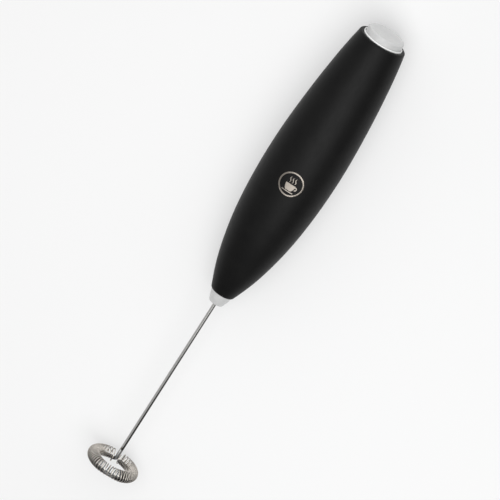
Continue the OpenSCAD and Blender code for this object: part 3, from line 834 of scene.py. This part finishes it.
def build_motor_cover():
    ob = half_shell("motor_cover_shell", 30.25, 64.5, SEAM_MOTOR, 1.0, 64)
    soften(ob, 0.16, lambda x, y, z: math.hypot(y, z) > body_r(x) - 0.3)
    boolean(ob, cylinder((37, 0, -13.4), (37, 0, -12.0), 2.6, 72), "UNION")
    boolean(ob, cylinder((37, 0, -20), (37, 0, -8), 1.3, 64), "DIFFERENCE")
    boolean(ob, cylinder((37, 0, -20), (37, 0, -body_r(37) + 0.75), 2.3, 72), "DIFFERENCE")
    tidy(ob, 0.0005)
    true_normals(ob)
    return finish_piece(ob, "handle", "motor_cover")


front = build_front()
battery_cover = build_battery_cover()
motor_cover = build_motor_cover()


# ---------------------------------------------------------------- button, bezel and nose
def build_button():
    top = [(0, CAP_X + 0.35), (2, CAP_X + 0.315), (4, CAP_X + 0.22), (5.6, CAP_X + 0.12), (7, CAP_X + 0.02), (7.5, CAP_X),
           (7.85, CAP_X + 0.03), (8.1, CAP_X + 0.12), (8.3, CAP_X + 0.24), (8.45, CAP_X + 0.4), (8.58, CAP_X + 0.62), (8.65, CAP_X + 0.9)]
    rest = fillet([(8.65, CAP_X + 0.9), (8.7, -61.5), (9.7, -61.5), (9.7, -60.7), (7.8, -60.7), (7.75, CAP_X + 2.2), (7.3, CAP_X + 1.5),
                   (2.2, CAP_X + 1.5), (2, CAP_X + 1.7), (2, -60.1), (0, -60.1)],
                  {2: 0.1, 3: 0.1, 4: 0.1, 5: 0.2, 6: 0.2, 7: 0.1, 8: 0.1, 9: 0.15}, 3)
    ob = lathe("push_button_cap", top + resample(rest[1:], 2.5), 160)
    shade(ob, 32)
    return finish_piece(ob, "button", "push_button")


def build_bezel():
    loop = [(8.85, -62.1), (8.85, TOP_X + 0.1), (8.85, TOP_X - 0.36), (8.88, TOP_X - 0.46), (8.94, TOP_X - 0.53), (9.02, TOP_X - 0.56), (9.11, TOP_X - 0.56),
            (9.19, TOP_X - 0.53), (9.25, TOP_X - 0.46), (9.28, TOP_X - 0.36), (9.28, TOP_X + 0.2), (9.28, -62.1)]
    ob = lathe("button_bezel_ring", loop, 160)
    shade(ob, 40)
    return finish_piece(ob, "handle", "button_bezel")


def build_nose():
    front_side = [(1.35, 75.5), (2.9, 75.5), (3.2, 75.38), (3.45, 75.05), (3.62, 74.6), (3.9, 73.85), (4.3, 72.8), (4.66, 71.5), (4.92, 70.3), (5, 69.9)]
    # a smooth curve through the stations of the cone
    curve = []
    for i in range(1, len(front_side) - 1):
        p0, p1, p2 = front_side[i - 1], front_side[i], front_side[i + 1]
        p3 = front_side[min(i + 2, len(front_side) - 1)]
        if i == 1:
            p0 = (2.6, 75.5)
        for k in range(5):
            t = k / 5
            curve.append(tuple(0.5 * ((2 * b) + (-a + c) * t + (2 * a - 5 * b + 4 * c - d) * t * t + (-a + 3 * b - 3 * c + d) * t ** 3)
                               for a, b, c, d in zip(p0, p1, p2, p3)))
    curve = [(r, min(x, 75.5)) for r, x in curve]
    loop = [(1.35, 75.42), (1.42, 75.5)] + curve + [(5, 69.9), (5, 65.35), (6.1, 65.35), (6.1, 64.5), (3.1, 64.5), (3.1, 68.9), (2.02, 68.9), (2.02, 74.1), (1.35, 74.1)]
    ob = lathe("nose_cone_turned", loop, 128)
    shade(ob, 32)
    return finish_piece(ob, "handle", "nose_cone")


def build_button_spring():
    """Drawn at its pressed length, so that it never meets the cap as the cap travels."""
    x0, x1, turns, steps = CAP_X + 3.45, -56.8, 6, 28
    pts = [(x0 + (x1 - x0) * i / (turns * steps), 3.6 * math.cos(2 * math.pi * i / steps), 3.6 * math.sin(2 * math.pi * i / steps))
           for i in range(turns * steps + 1)]
    ob = sweep("button_return_spring", pts, 0.25, 10, 3)
    shade(ob, 60)
    return finish_piece(ob, "handle", "button_spring")


build_button()
build_bezel()
build_nose()
build_button_spring()

# ---------------------------------------------------------------- whisk
RING_X, RING_R, STEM_R, COIL_R, WIRE_R = 166.0, 9.75, 0.875, 2.8, 0.23
TURNS, BUNCH, SAG, BACK = 62, 0.33, 0.85, 1.15
CRANK, LEAD, BEND_R = math.radians(45), math.radians(9), 3.0
lead_s = RING_R * math.tan(LEAD)
corner = Vector((RING_X, 0, -RING_R / math.cos(LEAD)))
bend_x = corner.x + corner.z / math.tan(CRANK)
turn = math.acos(-math.sin(CRANK) * math.sin(LEAD))
turn_r = lead_s / math.tan(turn / 2)
crank_dir = Vector((math.cos(CRANK), 0, -math.sin(CRANK)))
ring_dir = Vector((0, -math.cos(LEAD), math.sin(LEAD)))


def ring_point(a, r=RING_R):
    a = math.radians(a)
    return Vector((RING_X, -r * math.sin(a), -r * math.cos(a)))


def arc_points(p, u, v, angle, r, n):
    side = (v - v.dot(u) * u).normalized()
    return [p + side * r * (1 - math.cos(angle * i / n)) + u * r * math.sin(angle * i / n) for i in range(n + 1)]


def build_stem():
    stem_b = BEND_R * math.tan(CRANK / 2)
    out = Vector((bend_x, 0, 0)) + stem_b * crank_dir
    run = (corner - out).length - lead_s
    start = bend_x - stem_b
    path = [Vector((63.3 + (start - 63.3) * i / 60, 0, 0)) for i in range(60)]
    path += arc_points(Vector((start, 0, 0)), Vector((1, 0, 0)), crank_dir, CRANK, BEND_R, 14)
    path += [out + crank_dir * run * i / 8 for i in range(1, 8)]
    path += arc_points(out + run * crank_dir, crank_dir, ring_dir, turn, turn_r, 18)
    path += [ring_point(9 + 2 * i) for i in range(1, 171)]
    ob = sweep("whisk_stem_wire", path, STEM_R * 0.995, 24, 3)
    shade(ob, 45)
    return finish_piece(ob, "whisk", "whisk_stem")


def coil_point(s):
    a = 7.4 + 348 * s
    full, tight, e = COIL_R - WIRE_R - 0.09, STEM_R + WIRE_R * 0.8, 0.006
    r = tight + (full - tight) * (s / e) if s < e else tight + (full - tight) * ((1 - s) / e) if s > 1 - e else full
    b = 2 * math.pi * TURNS * (s - BUNCH * math.sin(4 * math.pi * s) / (4 * math.pi))
    ease = min(1, s / 0.02, (1 - s) / 0.02)
    return ring_point(a, RING_R + r * math.cos(b)) + Vector((r * math.sin(b) - BACK * ease, 0, -SAG * ease))


def build_coil():
    n = TURNS * 32
    path = [coil_point(i / n) for i in range(n + 1)]
    ob = sweep("whisk_coil_wire", path, WIRE_R * 0.98, 8, 2)
    # how far each face looks away from the middle of the coil, 0 inward to 1 outward
    heart = [ring_point(7.4 + 348 * i / n) + Vector((-BACK, 0, -SAG)) for i in range(n + 1)]
    tree = KDTree(n + 1)
    for i, p in enumerate(path):
        tree.insert(p, i)
    tree.balance()
    # this attribute is the mask for the painted shade in the coil material
    layer = ob.data.attributes.new("outward", "FLOAT", "POINT")
    for v in ob.data.vertices:
        co = Vector((v.co.x / MM, v.co.y / MM, v.co.z / MM - AXIS_Z))
        p, i, dist = tree.find(co)
        away = (p - heart[i]).normalized()
        layer.data[v.index].value = 0.5 + 0.5 * max(-1, min(1, (co - p).normalized().dot(away)))
    shade(ob, 60)
    return finish_piece(ob, "whisk", "whisk_coil")


build_stem()
build_coil()


# ---------------------------------------------------------------- badge
BADGE_X = 6.2


def badge_strip(ob_name, left, right, low=-0.12, high=0.04):
    """A raised band between two outlines of equal length, bent over the barrel, with softened top edges."""
    verts, faces = [], []
    n = len(left)
    rows = []
    for (ax, ay), (bx, by) in zip(left, right):
        dx, dy = bx - ax, by - ay
        length = math.hypot(dx, dy) or 1
        soft = min(0.05, length * 0.25) / length
        row = []
        for f, h in ((0, low), (0, high - 0.04), (soft, high), (0.5, high), (1 - soft, high), (1, high - 0.04), (1, low)):
            px, py = BADGE_X + ax + dx * f, ay + dy * f
            rr = body_r(px) + h
            row.append(len(verts))
            verts.append((px, py, math.sqrt(rr * rr - py * py)))
        rows.append(row)
    closed = left[0] == left[-1] and right[0] == right[-1]
    m = 7
    for i in range(n - 1):
        for k in range(m):
            q = (k + 1) % m
            faces.append((rows[i][k], rows[i][q], rows[i + 1][q], rows[i + 1][k]))
    if not closed:
        faces.append(tuple(rows[0][::-1]))
        faces.append(tuple(rows[-1]))
    ob = make_object(ob_name, verts, faces)
    tidy(ob, 0.0002)
    shade(ob, 35)
    ob.data.materials.append(MATS["badge_ink"])
    return ob


def build_badge():
    verts, faces = badge_patch(5.75, -0.05, -0.36, 10, 128)
    ob = make_object("emblem_badge_plate", verts, faces)
    tidy(ob)
    shade(ob, 30)
    ob.data.materials.append(MATS["black_plastic"])
    finish_piece(ob, "handle", "emblem_badge")
    n = 128
    turn_of = [2 * math.pi * i / n for i in range(n + 1)]

    def circle(r):
        pts = [(r * math.cos(a), r * math.sin(a)) for a in turn_of[:-1]]
        return pts + [pts[0]]

    finish_piece(badge_strip("badge_ring_outer", circle(5.62), circle(4.95)), "handle", slot="badge_ink")
    # the cup stands along the barrel with its foot towards the whisk: px runs down the cup, py across it
    depth = [i / 16 for i in range(17)]
    half = [2.35 * (1 - 0.42 * d ** 2.2) for d in depth]
    px = [-0.1 + 3.0 * d for d in depth]
    finish_piece(badge_strip("badge_cup", [(x, -h) for x, h in zip(px, half)], [(x, h) for x, h in zip(px, half)]), "handle", slot="badge_ink")
    ear = [math.radians(-82 + 164 * i / 24) for i in range(25)]
    finish_piece(badge_strip("badge_cup_ear", [(1.05 + 0.95 * math.sin(a), 2.3 + 1.15 * math.cos(a)) for a in ear],
                             [(1.05 + 0.5 * math.sin(a), 2.2 + 0.68 * math.cos(a)) for a in ear]), "handle", slot="badge_ink")
    finish_piece(badge_strip("badge_saucer", [(3.25, y / 10) for y in range(-28, 29, 2)], [(3.7, y / 10 * 0.9) for y in range(-28, 29, 2)]),
                 "handle", slot="badge_ink")
    for k, y0 in enumerate((-1.25, 0.0, 1.25)):
        wave = [(-0.65 - 2.7 * i / 20, y0 + 0.3 * math.sin(2 * math.pi * i / 20)) for i in range(21)]
        wide = [0.08 + 0.17 * math.sin(math.pi * i / 20) for i in range(21)]
        finish_piece(badge_strip("badge_steam_%d" % (k + 1), [(x, y - w) for (x, y), w in zip(wave, wide)], [(x, y + w) for (x, y), w in zip(wave, wide)]),
                     "handle", slot="badge_ink")


build_badge()

# ---------------------------------------------------------------- stage, light, camera
floor_mesh = bpy.data.meshes.new("floor")
S = 3.0
floor_mesh.from_pydata([(-S, -S, -0.00005), (S, -S, -0.00005), (S, S, -0.00005), (-S, S, -0.00005)], [], [(0, 1, 2, 3)])
floor = bpy.data.objects.new("floor", floor_mesh)
scene.collection.objects.link(floor)
fm, nt, b, co = material("floor_paper")
setp(b, rough=0.9, spec=0.1)
b.inputs["Emission Color"].default_value = (1, 1, 1, 1)
b.inputs["Emission Strength"].default_value = 0.43
nt.links.new(ramp(nt, noise(nt, co, 3, 2), [(0.3, (0.445, 0.447, 0.447)), (0.7, (0.45, 0.45, 0.45))]), b.inputs["Base Color"])
floor_mesh.materials.append(fm)

world = bpy.data.worlds.new("studio")
scene.world = world
world.use_nodes = True
wn = world.node_tree
bg = wn.nodes["Background"]
bg.inputs["Color"].default_value = (1, 1, 1, 1)
# a dim room: paler on the -Y side and behind the button
wco = wn.nodes.new("ShaderNodeTexCoord")
wsep = wn.nodes.new("ShaderNodeSeparateXYZ")
wn.links.new(wco.outputs["Generated"], wsep.inputs[0])
side = span(wn, wsep.outputs["Y"], 0.0, 1.0, -1.0, 1.0)
tent = ramp(wn, side, [(0.0, (0.55, 0.55, 0.55)), (0.25, (0.6, 0.6, 0.6)), (0.5, (0.7, 0.7, 0.7)), (0.77, (0.62, 0.62, 0.62)),
                       (0.85, (0.4, 0.4, 0.4)), (0.90, (0.02, 0.02, 0.02)), (1.0, (0.02, 0.02, 0.02))])
away = span(wn, wsep.outputs["X"], 1.0, 0.1, 0.3, 0.75)
behind = span(wn, wsep.outputs["X"], 1.1, 0.0, -0.95, -0.3)
wn.links.new(math_node(wn, "ADD", math_node(wn, "MULTIPLY", tent, away), behind), bg.inputs["Strength"])


def area(name, loc, target, size, power, size_y=None):
    data = bpy.data.lights.new(name, "AREA")
    data.energy = power
    data.shape = "RECTANGLE" if size_y else "SQUARE"
    data.size = size
    if size_y:
        data.size_y = size_y
    ob = bpy.data.objects.new(name, data)
    scene.collection.objects.link(ob)
    ob.location = loc
    ob.rotation_mode = "QUATERNION"
    ob.rotation_quaternion = (Vector(loc) - Vector(target)).to_track_quat("Z", "Y")
    return ob


area("overhead", (0.055, 0.085, 0.59), (0.0, 0.0, 0.016), 0.36, 2.45, 0.7)

TAU = math.radians(19.35)
D, K = 2.1, 0.427e-3
C0 = Vector((0, 0, AXIS_Z * MM))
E = Vector((math.cos(TAU), 0, math.sin(TAU)))
Y = Vector((0, 1, 0))
d = Vector((-math.sin(TAU), 0, math.cos(TAU)))
ROLL = math.radians(57.197 + 0.2)
right = -math.cos(ROLL) * E + math.sin(ROLL) * Y
up = -math.sin(ROLL) * E - math.cos(ROLL) * Y
cam_data = bpy.data.cameras.new("camera")
cam = bpy.data.objects.new("camera", cam_data)
scene.collection.objects.link(cam)
loc = C0 - 55.1 * K * right - 87.5 * K * up + D * d
cam.matrix_world = Matrix(((right.x, up.x, d.x, loc.x), (right.y, up.y, d.y, loc.y), (right.z, up.z, d.z, loc.z), (0, 0, 0, 1)))
cam_data.sensor_width = 36
cam_data.lens = 18 / (0.2135 / 2 / D)
cam_data.clip_start, cam_data.clip_end = 0.05, 20
scene.camera = cam

scene.view_settings.view_transform = "Standard"
scene.view_settings.look = "None"
